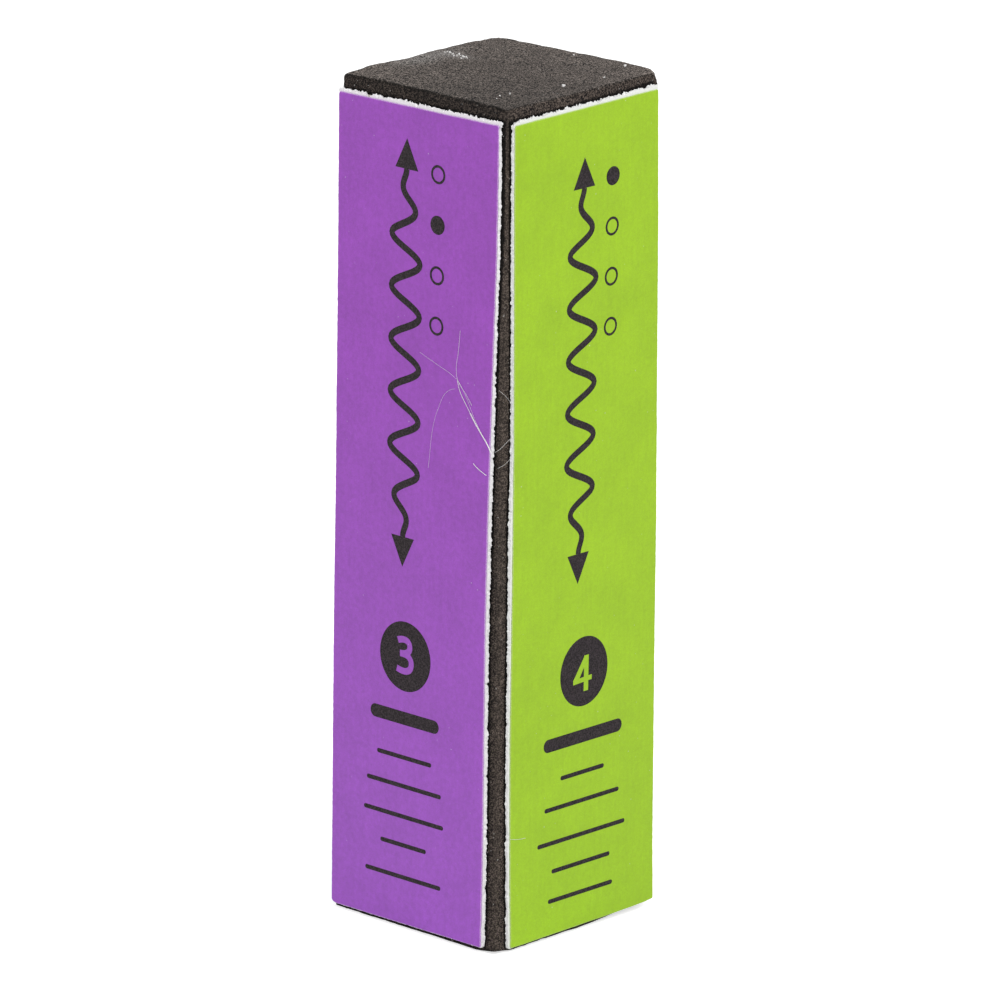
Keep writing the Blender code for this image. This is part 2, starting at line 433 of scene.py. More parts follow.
def sheet_blank(name):
    """One sheet: a grid fitted between its four cuts, its rim pressed down and its wall below."""
    strip = STRIPS[name]
    shares_across = ring_places(SHEET_WIDTH, SHEET_STEP_ACROSS)
    shares_along = ring_places(SHEET_LENGTH, SHEET_STEP_ALONG)
    columns, rows = len(shares_across) - 1, len(shares_along) - 1
    bm = bmesh.new()
    bmesh.ops.create_grid(bm, x_segments=columns, y_segments=rows, size=0.5)
    edge_distance = bm.verts.layers.float.new("edge_distance")
    salt = Vector((0.0, 0.0, SALT_STEP * strip["turn"] + SHEET_SALT))
    radii = dict(zip(((0, 0), (1, 0), (1, 1), (0, 1)), (radius * MM for radius in strip["corners"])))
    for vert in bm.verts:
        across = shares_across[round((vert.co.x + 0.5) * columns)]
        along = shares_along[round((vert.co.y + 0.5) * rows)]
        right, upper = across > 0.5, along > 0.5
        from_side = (1 - across if right else across) * SHEET_WIDTH
        from_end = (1 - along if upper else along) * SHEET_LENGTH
        radius = radii[(int(right), int(upper))]
        corner = from_side < radius and from_end < radius
        from_side, from_end = rounded_in(from_side, from_end, radius)
        inside = min(from_side, from_end)
        if corner:
            inside = radius - math.hypot(radius - from_side, radius - from_end)
        across = 1 - from_side / SHEET_WIDTH if right else from_side / SHEET_WIDTH
        along = 1 - from_end / SHEET_LENGTH if upper else from_end / SHEET_LENGTH
        x = (across - 0.5) * SHEET_WIDTH
        low, high = reading(strip["base"], x), reading(strip["top"], x)
        y = low + (high - low) * along
        first, last = reading(strip["left"], y), reading(strip["right"], y)
        x = first + (last - first) * across
        if from_side < from_end:
            out = Vector((1.0 if right else -1.0, 0.0, 0.0))
        else:
            out = Vector((0.0, 1.0 if upper else -1.0, 0.0))
        place = Vector((x, y, 0.0)) / MM
        wander = noise.noise(place / WANDER_SIZE + salt)
        wander += SLOW_WANDER_SHARE * noise.noise(place / SLOW_WANDER_SIZE - salt)
        press = max(0.0, 1 - inside / PRESSED_EDGE_RADIUS)
        drop = PRESSED_EDGE_RADIUS * (1 - math.sqrt(max(0.0, 1 - press * press)))
        vert.co = Vector((x, y, SHEET_TOP - drop))
        vert.co += out * WANDER * wander * math.exp(-inside / WANDER_REACH)
        vert[edge_distance] = min(FAR_FROM_EDGE, inside / MM)
    rim = [edge for edge in bm.edges if edge.is_boundary]
    wall = bmesh.ops.extrude_edge_only(bm, edges=rim)["geom"]
    for vert in (item for item in wall if isinstance(item, bmesh.types.BMVert)):
        vert.co.z = SHEET_BASE
    bmesh.ops.holes_fill(bm, edges=[item for item in wall if isinstance(item, bmesh.types.BMEdge)])
    bmesh.ops.transform(bm, matrix=side_frame(name), verts=bm.verts)
    return bm


def sheet_surface(name):
    """A sheet's printed colour, paler downwards by painted floor light, with mottle, grit and a worn rim."""
    look = SHEETS[name]
    surface, shader = new_surface(
        name + "_abrasive", Roughness=look["roughness"], Specular_IOR_Level=look["gloss"],
    )
    place = object_place(surface)
    mottle = speckle(surface, place, MOTTLE_SIZE, 3.0, 0.55)
    clouds = speckle(surface, place, CLOUD_SIZE, 2.0, 0.6)
    streaks = speckle(surface, object_place(surface, (1.0, 1.0, 0.06)), STREAK_WIDTH, 1.0)
    grit = speckle(surface, place, look["grit"] * MM, 1.5, 0.6)
    inside = attribute(surface, "edge_distance")
    height = node(surface, "SeparateXYZ", {"Vector": place}).outputs["Z"]
    # Painted light: the colour is mixed towards the paler lower one downwards, for light bounced from the
    # floor.
    painted_floor_light = spread(surface, height, 0.1 * CORE_LENGTH, 0.7 * CORE_LENGTH, 1.0, 0.0)
    colour = mixed(surface, painted_floor_light, look["upper"], look["lower"])
    shade = spread(surface, mottle, NOISE_LOW, NOISE_HIGH, 0.95, 1.05)
    depth = look["clouds"]
    shade = varied(surface, shade, clouds, 1 - depth, 1 + depth)
    shade = varied(surface, shade, streaks, 0.98, 1.02)
    depth = 0.08 + 0.30 * look["coarse"]
    shade = varied(surface, shade, grit, 1 - depth, 1 + depth)
    colour = shaded(surface, colour, shade)
    specks = spread(surface, speckle(surface, place, SPECK_SIZE, 0.0), 0.84, 0.88)
    colour = mixed(surface, combined(surface, specks, 0.35), colour, SPECK_COLOUR)
    worn = spread(surface, inside, 0.02, 0.12, 1.0, 0.0)
    worn = combined(surface, worn, spread(surface, grit, 0.35, 0.65, 0.2, 0.8))
    colour = mixed(surface, worn, colour, look["rim"])
    bump = raised(surface, mottle, 0.05 * MM)
    bump = raised(surface, grit, (0.01 + 0.10 * look["coarse"]) * MM, bump)
    return painted(surface, shader, colour, bump)


for name in STRIPS:
    film = sheet_blank(name)
    finished_piece(name + "_film", film, sheet_surface(name), [name + "_sheet"])


# Printing. Each sheet carries one layer of dark ink, screen-printed on the colour: its step number
# knocked out of a disc, a bar and five thin lines under it, and above it a wave with an arrowhead
# at each end, for rubbing to and fro, beside four dots that count the steps. PRINTS is in mm on the
# strip's own side: the middles of the disc and the numeral, the wave's place across and the heights
# of its two ends, the place of the lowest dot, and a height and a width for the bar and each line.
# The disc and its number are drawn in mm and then brought to metres.
INK_THICKNESS = 0.012 * MM
INK = (0.008, 0.005, 0.006)
INK_PINHOLE = (0.052, 0.040, 0.046)
PINHOLE_SIZE = 0.16 * MM
WELD = 1e-7
DISC_RADIUS = 3.96
DISC_SQUEEZE = 0.96
DISC_STEPS = 72
NUMERAL_STROKE = 0.76
BEND_STEPS = 12
NUMERALS = {
    1: dict(
        bends=[],
        blocks=[
            ((0.0, -2.1), (0.85, -2.1), (0.85, 2.1), (0.0, 2.1)),
            ((-1.05, 0.85), (0.1, 1.35), (0.1, 2.1), (-1.05, 1.55)),
        ],
    ),
    2: dict(
        bends=[(
            ((-1.1, 1.5), (-0.5, 1.9), (0.85, 2.0), (0.85, 0.95)),
            ((0.85, 0.95), (0.85, 0.1), (-0.3, -0.6), (-0.95, -1.8)),
        )],
        blocks=[((-1.35, -2.1), (1.3, -2.1), (1.3, -1.38), (-1.35, -1.38))],
    ),
    3: dict(
        bends=[
            (
                ((-1.07, 1.55), (-0.45, 1.86), (0.74, 1.98), (0.74, 0.98)),
                ((0.74, 0.98), (0.74, 0.42), (0.2, 0.12), (-0.75, 0.12)),
            ),
            (
                ((-0.3, 0.12), (0.55, 0.12), (0.98, -0.32), (0.98, -0.85)),
                ((0.98, -0.85), (0.98, -1.9), (-0.1, -2.0), (-1.2, -1.66)),
            ),
        ],
        blocks=[],
    ),
    4: dict(
        bends=[],
        blocks=[
            ((0.20, -2.1), (0.94, -2.1), (0.96, 1.98), (0.20, 1.98)),
            ((-1.5, -1.1), (1.5, -0.96), (1.5, -0.40), (-1.5, -0.52)),
            ((-1.5, -0.6), (-0.55, -0.6), (0.9, 1.7), (0.9, 1.97), (0.3, 1.97)),
        ],
    ),
}
WAVE_STROKE = 0.80 * MM
WAVE_SWING = 2.1 * MM
WAVE_TURNS = 7
WAVE_STEPS_PER_TURN = 24
WAVE_GROWTH = 6
ARROW_LENGTH = 3.4 * MM
ARROW_HALF_WIDTH = 1.7 * MM
DOT_STEPS = 40
DOT_RADIUS = 1.05 * MM
DOT_RING = 0.28 * MM
DOT_SPACING = 5.6 * MM
BAR_HEIGHT = 1.5 * MM
LINE_HEIGHT = 0.50 * MM
PRINTS = {
    "file": dict(
        number=1, disc=(-0.6, -16.6), numeral=(-0.55, -16.6), wave=(-1.6, -6.2, 41.5), dots=(3.0, 21.5),
        bar=(-25.0, 9.0), lines=((-29.0, 7.4), (-32.4, 10.4), (-36.0, 12.6), (-39.4, 8.2), (-42.9, 10.8)),
    ),
    "smooth": dict(
        number=2, disc=(-0.5, -16.8), numeral=(-0.5, -16.8), wave=(-1.5, -6.4, 41.3), dots=(3.1, 21.2),
        bar=(-25.2, 10.8), lines=((-29.2, 9.2), (-32.6, 12.2), (-36.2, 10.2), (-39.5, 7.2), (-43.0, 11.4)),
    ),
    "polish": dict(
        number=3, disc=(-1.18, -16.13), numeral=(-1.25, -15.98), wave=(-1.8, -6.0, 42.0), dots=(2.85, 22.0),
        bar=(-23.2, 10.3), lines=((-27.7, 8.2), (-31.0, 11.2), (-34.5, 12.0), (-37.8, 6.9), (-41.5, 11.4)),
    ),
    "shine": dict(
        number=4, disc=(0.77, -17.6), numeral=(0.56, -17.8), wave=(-0.5, -7.4, 40.4), dots=(4.05, 20.8),
        bar=(-25.0, 12.6), lines=((-29.15, 7.0), (-32.4, 12.0), (-36.3, 14.1), (-39.6, 9.4), (-43.0, 10.4)),
    ),
}


def add_drawn(bm, drawn, place):
    """Adds an object's finished mesh to a bmesh at a place, and removes the object."""
    finished = drawn.evaluated_get(bpy.context.evaluated_depsgraph_get())
    mesh = bpy.data.meshes.new_from_object(finished)
    mesh.transform(place)
    bm.from_mesh(mesh)
    bpy.data.meshes.remove(mesh)
    bpy.data.objects.remove(drawn)
    bmesh.ops.remove_doubles(bm, verts=bm.verts, dist=WELD)


def plate(outline, low, high):
    """An upright slab on an outline, between two heights."""
    bm = bmesh.new()
    face = bm.faces.new([bm.verts.new((x, y, low)) for x, y in outline])
    thickened(bm, [face], high - low)
    bmesh.ops.recalc_face_normals(bm, faces=bm.faces)
    return mesh_object("plate", bm)


def stroke_outline(bends):
    """The outline of a pen stroke along cubic bends, each given by its four control points."""
    line = []
    for bend in bends:
        line = line[:-1] + interpolate_bezier(*(Vector(point) for point in bend), BEND_STEPS)
    left, right = [], []
    for before, point, after in zip(line[:1] + line[:-1], line, line[1:] + line[-1:]):
        run = (after - before).normalized()
        side = Vector((-run.y, run.x)) * NUMERAL_STROKE / 2
        left.append(point + side)
        right.append(point - side)
    return left + right[::-1]


def number_disc(bm, number, disc, numeral):
    """A disc of ink that the strokes of the number are cut out of."""
    turns = [2 * math.pi * step / DISC_STEPS for step in range(DISC_STEPS)]
    round_disc = [
        (disc[0] + DISC_RADIUS * DISC_SQUEEZE * math.cos(turn), disc[1] + DISC_RADIUS * math.sin(turn))
        for turn in turns
    ]
    blank = plate(round_disc, 0.0, 1.0)
    strokes = [stroke_outline(bends) for bends in NUMERALS[number]["bends"]] + NUMERALS[number]["blocks"]
    cutters = []
    for stroke in strokes:
        cutter = plate([(x + numeral[0], y + numeral[1]) for x, y in stroke], -1.0, 2.0)
        cut = blank.modifiers.new("number", "BOOLEAN")
        cut.operation = "DIFFERENCE"
        cut.solver = "EXACT"
        cut.object = cutter
        cutters.append(cutter)
    add_drawn(bm, blank, Matrix.Diagonal((MM, MM, INK_THICKNESS, 1.0)))
    for cutter in cutters:
        bpy.data.objects.remove(cutter)


def bar(bm, x, y, width, height):
    """A bar with round ends."""
    made = bmesh.ops.create_grid(
        bm, x_segments=1, y_segments=1, size=0.5,
        matrix=Matrix.Translation((x, y, 0.0)) @ Matrix.Diagonal((width, height, 1.0, 1.0)),
    )
    rounded = bmesh.ops.bevel(
        bm, geom=made["verts"], offset=height * 0.49, segments=6, profile=0.5, affect="VERTICES", material=-1,
    )
    thickened(bm, [rounded["verts"][0].link_faces[0]], INK_THICKNESS)


def dot(bm, x, y, filled):
    """A round dot, or a ring where the step isn't this one."""
    made = bmesh.ops.create_circle(
        bm, cap_ends=True, segments=DOT_STEPS, radius=DOT_RADIUS, matrix=Matrix.Translation((x, y, 0.0)),
    )
    faces = [made["verts"][0].link_faces[0]]
    if not filled:
        ring = bmesh.ops.inset_region(bm, faces=faces, thickness=DOT_RING, use_boundary=True)["faces"]
        bmesh.ops.delete(bm, geom=faces, context="FACES_ONLY")
        faces = ring
    thickened(bm, faces, INK_THICKNESS)


def arrowhead(bm, x, y, up):
    """A plain triangle that points up or down the strip."""
    shape = Matrix.Diagonal((ARROW_HALF_WIDTH / math.cos(math.pi / 6), ARROW_LENGTH / 1.5, 1.0, 1.0))
    turn = Matrix.Rotation(0.0 if up else math.pi, 4, "Z")
    made = bmesh.ops.create_circle(
        bm, cap_ends=True, segments=3, radius=1.0, matrix=Matrix.Translation((x, y, 0.0)) @ turn @ shape,
    )
    thickened(bm, [made["verts"][0].link_faces[0]], INK_THICKNESS)


def round_stroke(name, kind, radius):
    """An object drawn with a round stroke along one spline of a kind, and that spline."""
    line = bpy.data.curves.new(name, "CURVE")
    line.dimensions = "3D"
    line.bevel_depth = radius
    line.bevel_resolution = 2
    line.use_fill_caps = True
    return linked(name, line), line.splines.new(kind)


def wave(bm, x, low, high):
    """An even wave up the strip between two arrowheads, drawn with one width of stroke."""
    first, last = low + ARROW_LENGTH, high - ARROW_LENGTH
    count = WAVE_TURNS * WAVE_STEPS_PER_TURN
    drawn, spline = round_stroke("wave", "POLY", WAVE_STROKE / 2)
    spline.points.add(count)
    for step, point in enumerate(spline.points):
        share = step / count
        grown = min(1.0, WAVE_GROWTH * share, WAVE_GROWTH * (1 - share))
        swing = WAVE_SWING * math.sin(2 * math.pi * WAVE_TURNS * share) * grown
        point.co = (x + swing, first + (last - first) * share, 0.0, 1.0)
    pressed = Matrix.Diagonal((1.0, 1.0, INK_THICKNESS / WAVE_STROKE, 1.0))
    add_drawn(bm, drawn, Matrix.Translation((0.0, 0.0, INK_THICKNESS / 2)) @ pressed)
    arrowhead(bm, x, first - ARROW_LENGTH / 3, up=False)
    arrowhead(bm, x, last + ARROW_LENGTH / 3, up=True)


def ink_surface():
    """Dark ink, thin enough that the grit under it shows as fine pinholes."""
    surface, shader = new_surface("ink", Roughness=0.75, Specular_IOR_Level=0.25)
    pinholes = speckle(surface, object_place(surface), PINHOLE_SIZE, 2.0, 0.6)
    colour = mixed(surface, spread(surface, pinholes, 0.40, 0.66), INK, INK_PINHOLE)
    return painted(surface, shader, colour, raised(surface, pinholes, 0.01 * MM))


ink = ink_surface()
for name, prints in PRINTS.items():
    printing = bmesh.new()
    number_disc(printing, prints["number"], prints["disc"], prints["numeral"])
    wave(printing, *(part * MM for part in prints["wave"]))
    dots_x, dots_y = (part * MM for part in prints["dots"])
    for step in range(len(PRINTS)):
        dot(printing, dots_x, dots_y + step * DOT_SPACING, step + 1 == prints["number"])
    middle_x = prints["disc"][0] * MM
    bar_y, bar_width = (part * MM for part in prints["bar"])
    bar(printing, middle_x, bar_y, bar_width, BAR_HEIGHT)
    for line_y, line_width in prints["lines"]:
        bar(printing, middle_x, line_y * MM, line_width * MM, LINE_HEIGHT)
    bmesh.ops.translate(printing, vec=(0.0, 0.0, SHEET_TOP), verts=printing.verts)
    bmesh.ops.transform(printing, matrix=side_frame(name), verts=printing.verts)
    finished_piece(name + "_printing", printing, ink)


# Its colour also carries painted light on its long sides and near edge, and painted shade beside the strips
# and along the rims.
# Foam core. The real piece is a square bar of dark closed-cell foam, slit from a slab and cut to
# length. Foam gives under the blade, so its edges come out soft and unlike, and its two cut ends
# show opened cells. The strips are pressed onto its long sides, and crush it along their cuts.
# Depths are in metres, and sizes of noise, wear at a corner and places on the bar in mm. A name
# that ends in ALONG, INWARD or TONES holds places and then the value at each.
LONG_EDGE_RADII = {(-1, -1): 0.2 * MM, (1, -1): 1.4 * MM, (1, 1): 0.65 * MM, (-1, 1): 2.1 * MM}
NEAR_EDGE_FULLNESS = ((35.0, 0.0), (80.0, 0.55), (91.0, 0.85))
TOP_EDGE_RADIUS = 0.25 * MM
BASE_EDGE_RADIUS = 0.12 * MM
CORE_EDGE_SEGMENTS = 6
FINE_STEP = 0.12 * MM
FINE_REACH = 2.16 * MM
ACROSS_STEP = 0.7 * MM
ALONG_STEP = 0.45 * MM
SWELL_DEPTH = 0.05 * MM
SWELL_SIZE = 9.0
LUMP_DEPTH = 0.05 * MM
LUMP_SIZE = 2.0
PIT_DEPTH = 0.16 * MM
PIT_SIZE = 0.8
PIT_ABOVE = 0.15
NIBBLE_DEPTH = 0.30 * MM
NIBBLE_SIZE = 1.3
NIBBLE_ABOVE = 0.1
CRUMBLE_DEPTH = 0.10 * MM
CRUMBLE_SIZE = 0.35
MOST_PROUD = 0.03 * MM
CRUSH_DEPTH = 0.10 * MM
CRUSH_REACH = 0.15 * MM
FAR_FROM_CUT = 2.0 * MM
WELL_UNDER = (9.5 * MM, 44.0 * MM)
FILE_RIM_RISE = 0.27 * MM
FILE_RIM_ALONG = ((-12.0, -9.0, -1.5, 7.0, 12.0), (0.0, 0.4, 1.0, 1.5, 1.0))
FILE_RIM_INWARD = ((-2.0, 12.0), (0.0, 1.0))
SMOOTH_RIM_RISE = 0.11 * MM
SMOOTH_RIM_ALONG = ((-11.0, -8.0, -2.0, 2.0, 9.0, 12.0), (0.0, 0.8, -0.7, 1.0, 1.0, 0.3))
SMOOTH_RIM_INWARD = ((-12.0, -7.0), (1.0, 0.0))
SMOOTH_POLISH_DIP = 0.25 * MM
SMOOTH_POLISH_DIP_REACH = 6.0 * MM
END_REACH = 3.0 * MM
TOP_CORNER_WEAR = {(-1, -1): (0.15, 1.2), (1, -1): (0.4, 1.5), (1, 1): (0.65, 1.9), (-1, 1): (0.4, 1.5)}
BASE_CORNER_LIFTS = {(1, -1): (0.42, 2.6), (1, 1): (0.6, 9.0)}
# Painted shade: the foam beside each strip's cuts is painted darker, as the crevice there lies in shade.
LONG_SEAM_WIDTHS = {"polish": 0.13 * MM, "shine": 0.07 * MM, "file": 0.13 * MM, "smooth": 0.13 * MM}
END_SEAM_WIDTH = 0.36 * MM
SEAM_SHADE = 0.10
# Painted shade: a dark line is painted along the rims where the ends meet the long sides.
RIM_WIDTHS = {"polish": 0.34 * MM, "shine": 0.16 * MM, "file": 0.20 * MM, "smooth": 0.24 * MM}
RIM_SHADE = 0.22
END_FROM, END_SPAN = 0.35, 0.5
# Painted light: the long sides facing along X are painted this much lighter, as the right side gets more
# light.
PAINTED_SIDE_LIGHT_TONE = 1.8
# Painted light and shade on the near long edge, by height: a paler ridge high up and a darker band under the
# upper rim.
PAINTED_EDGE_LIGHT_TONES = ((35.0, 88.0, 92.5, 94.5), (1.0, 1.15, 1.0, 0.75))
EDGE_SMOOTHNESS = 0.45
# The ends are made darker towards the near corner and lighter towards the back and the two side corners.
END_TONES = ((-1.0, 0.0, 1.0), (0.74, 0.93, 1.20))
END_CORNER_TONE = 0.50
HAZES = ((-10.6, -1.0, 1.8, 4.5, 0.55), (-8.7, 2.0, 2.0, 0.8, 0.6))
FOAM_SIDE = (0.062, 0.049, 0.041)
FOAM_END = (0.187, 0.159, 0.141)
FOAM_PIT = (0.004, 0.003, 0.003)
FOAM_DUST = (0.55, 0.53, 0.51)
FINE_CELL_SIZE = 0.14 * MM
CELL_SIZE = 0.32 * MM
SLIT_STREAK_WIDTH = 0.30 * MM
BLOTCH_SIZE = 3.5 * MM
FLECK_SIZE = 0.30 * MM


def cut_places(low, high, step):
    """Places between low and high: FINE_STEP apart near both ends, about step apart between."""
    fine = [FINE_STEP * part for part in range(1, round(FINE_REACH / FINE_STEP))]
    inner = high - low - 2 * FINE_REACH
    coarse = [FINE_REACH + inner * share for share in np.linspace(0.0, 1.0, round(inner / step) + 1)]
    return [low + part for part in fine + coarse] + [high - part for part in reversed(fine)]


def end_rise(x, y):
    """How much higher than planned the upper end lies at a place, as the knife left it."""
    across, along = x / MM, y / MM
    rise = FILE_RIM_RISE * np.interp(across, *FILE_RIM_ALONG) * np.interp(along, *FILE_RIM_INWARD)
    rise += SMOOTH_RIM_RISE * np.interp(along, *SMOOTH_RIM_ALONG) * np.interp(across, *SMOOTH_RIM_INWARD)
    away = math.hypot(x + CORE_SIDE / 2, y + CORE_SIDE / 2)
    return rise - SMOOTH_POLISH_DIP * max(0.0, 1 - away / SMOOTH_POLISH_DIP_REACH) ** 2


def filled_out(place):
    """How far a place at the near long edge stands out, as the cut left it squarer higher up.

    The centre of the edge's arc moves out by shift both ways, and the radius shrinks by as much.
    A place keeps its direction from the old centre, and lands on a flat or on the smaller arc.
    """
    radius = LONG_EDGE_RADII[(1, -1)]
    centre = CORE_SIDE / 2 - radius
    across, out = place.x - centre, -place.y - centre
    if across <= 0 or out <= 0:
        return Vector()
    shift = radius * reading(NEAR_EDGE_FULLNESS, place.z) / MM
    turn = math.atan2(out, across)
    c, s = math.cos(turn), math.sin(turn)
    reach = radius / max(c, s)
    if reach * min(c, s) > shift:
        reach = shift * (c + s) + math.sqrt((radius - shift) ** 2 - (shift * (c - s)) ** 2)
    return Vector((across, -out, 0.0)) * (reach / radius - 1)


def corner_wear(place):
    """How far a place near a corner has been moved: rubbed in at the top, lifted at the base."""
    worn = Vector()
    for (side_x, side_y), (depth, reach) in TOP_CORNER_WEAR.items():
        corner = Vector((side_x * CORE_SIDE / 2, side_y * CORE_SIDE / 2, CORE_LENGTH))
        share = max(0.0, 1 - (place - corner).length / (reach * MM))
        worn += Vector((-side_x, -side_y, -1.0)).normalized() * depth * MM * share * share
    for (side_x, side_y), (lift, reach) in BASE_CORNER_LIFTS.items():
        corner = Vector((side_x * CORE_SIDE / 2, side_y * CORE_SIDE / 2, 0.0))
        worn.z += lift * MM * max(0.0, 1 - (place - corner).length / (reach * MM))
    return worn


def from_cuts(strip, x, y):
    """How far past a strip's long cuts and past its end cuts a place lies, negative under it."""
    if abs(x) < WELL_UNDER[0] and abs(y) < WELL_UNDER[1]:
        return -FAR_FROM_CUT, -FAR_FROM_CUT
    past_left = reading(strip["left"], y) - reading(strip["left_lip"], y) - x
    past_right = x - reading(strip["right"], y) - reading(strip["right_lip"], y)
    past_base = reading(strip["base"], x) - BASE_LIP - y
    past_top = y - reading(strip["top"], x) - reading(strip["top_lip"], x)
    return max(past_left, past_right), max(past_base, past_top)


def foam_blank():
    """The bar with each edge bevelled to its own radius, cut fine where the foam shows."""
    bm = bmesh.new()
    weight = bm.edges.layers.float.new("bevel_weight_edge")
    middle = Matrix.Translation((core_low + core_high) / 2)
    bmesh.ops.create_cube(bm, size=1.0, matrix=middle @ Matrix.Diagonal((*(core_high - core_low), 1.0)))
    widest = max(LONG_EDGE_RADII.values())
    for edge in bm.edges:
        start, end = (vert.co for vert in edge.verts)
        if abs(start.z - end.z) > CORE_LENGTH / 2:
            radius = LONG_EDGE_RADII[(1 if start.x > 0 else -1, 1 if start.y > 0 else -1)]
        else:
            radius = TOP_EDGE_RADIUS if start.z > CORE_LENGTH / 2 else BASE_EDGE_RADIUS
        edge[weight] = radius / widest
    blank = mesh_object("foam_blank", bm)
    rounding = blank.modifiers.new("rounded_edges", "BEVEL")
    rounding.limit_method = "WEIGHT"
    rounding.width = widest
    rounding.segments = CORE_EDGE_SEGMENTS
    rounding.use_clamp_overlap = False
    bm = bmesh.new()
    bm.from_object(blank, bpy.context.evaluated_depsgraph_get())
    bpy.data.objects.remove(blank)

    for axis in (Vector((1.0, 0.0, 0.0)), Vector((0.0, 1.0, 0.0))):
        for place in cut_places(-CORE_SIDE / 2, CORE_SIDE / 2, ACROSS_STEP):
            whole = bm.verts[:] + bm.edges[:] + bm.faces[:]
            bmesh.ops.bisect_plane(bm, geom=whole, dist=WELD, plane_co=axis * place, plane_no=axis)
    upright = [edge for edge in bm.edges if abs(edge.verts[0].co.z - edge.verts[1].co.z) > CORE_LENGTH / 2]
    low, high = BASE_EDGE_RADIUS, CORE_LENGTH - TOP_EDGE_RADIUS
    wanted = cut_places(low, high, ALONG_STEP)
    bmesh.ops.subdivide_edges(bm, edges=upright, cuts=len(wanted))
    even = [0.0, *np.linspace(low, high, len(wanted) + 2), CORE_LENGTH]
    moved = [0.0, low, *wanted, high, CORE_LENGTH]
    for vert in bm.verts:
        vert.co.z = np.interp(vert.co.z, even, moved)
    return bm


def foam_bar():
    """The bar roughened: pitted all over, nibbled at its edges and crushed along the strips."""
    bm = foam_blank()
    bm.normal_update()
    names = ("cut_end", "painted_light_and_tone", "seam", "rim", "rounding", "haze")
    cut_end, painted_light_and_tone, seam, rim, rounding, haze = (bm.verts.layers.float.new(layer) for layer in names)
    strip_frames = {name: side_frame(name).inverted() for name in STRIPS}
    moves = []
    for vert in bm.verts:
        place = vert.co / MM
        bend = 1 - max(abs(part) for part in vert.normal)
        beyond, parted, below = FAR_FROM_CUT, FAR_FROM_CUT / MM, {}
        for name, to_side in strip_frames.items():
            x, y, below[name] = to_side @ vert.co
            if (to_side.to_3x3() @ vert.normal).z > 0.3:
                aside, along = from_cuts(STRIPS[name], x, y)
                beyond = min(beyond, max(aside, along))
                parted = min(parted, max(aside / LONG_SEAM_WIDTHS[name], along / END_SEAM_WIDTH))
        proud = SWELL_DEPTH * noise.noise(place / SWELL_SIZE) + LUMP_DEPTH * noise.noise(place / LUMP_SIZE)
        proud -= PIT_DEPTH * max(0.0, noise.noise(place / PIT_SIZE) - PIT_ABOVE)
        proud -= NIBBLE_DEPTH * bend * max(0.0, noise.noise(place / NIBBLE_SIZE) - NIBBLE_ABOVE)
        proud += CRUMBLE_DEPTH * min(1.0, 3 * bend) * noise.noise(place / CRUMBLE_SIZE)
        if beyond > 0:
            proud -= CRUSH_DEPTH * math.exp(-beyond / CRUSH_REACH)
        move = vert.normal * min(MOST_PROUD, proud) + filled_out(vert.co) + corner_wear(vert.co)
        near_top = max(0.0, 1 - (core_high.z - vert.co.z) / END_REACH)
        move.z += near_top * end_rise(vert.co.x, vert.co.y)
        moves.append(move)

        end = min(1.0, max(0.0, (abs(vert.normal.z) - END_FROM) / END_SPAN))
        # Painted light and shade: sides facing along X are painted lighter, and the near edge gets its
        # painted ridge and dark band.
        painted_side_light = 1 + (PAINTED_SIDE_LIGHT_TONE - 1) * abs(vert.normal.x)
        round_edge = (1 - end) * min(1.0, 4 * bend)
        painted_side_light *= 1 + (np.interp(place.z, *PAINTED_EDGE_LIGHT_TONES) - 1) * round_edge
        back = (vert.co.y - vert.co.x) / CORE_SIDE
        sideways = (vert.co.y + vert.co.x) / CORE_SIDE
        end_tone = np.interp(back, *END_TONES) + END_CORNER_TONE * sideways ** 2
        from_end = min(core_high.z - vert.co.z, vert.co.z)
        nearest = max(below, key=below.get)
        vert[cut_end] = end
        vert[painted_light_and_tone] = painted_side_light + (end_tone - painted_side_light) * end
        # The seam and rim attributes place the painted shade beside the strips' cuts and along the rims of
        # the ends.
        vert[seam] = parted
        vert[rim] = max(from_end, -below[nearest]) / RIM_WIDTHS[nearest]
        vert[rounding] = EDGE_SMOOTHNESS * round_edge
        vert[haze] = 0.0
        for x, y, half_x, half_y, strength in HAZES:
            far = ((place.x - x) / half_x) ** 2 + ((place.y - y) / half_y) ** 2
            vert[haze] += strength * end * math.exp(-far)
    for vert, move in zip(bm.verts, moves):
        vert.co += move
        vert.co.z = max(vert.co.z, 0.0)
    return bm


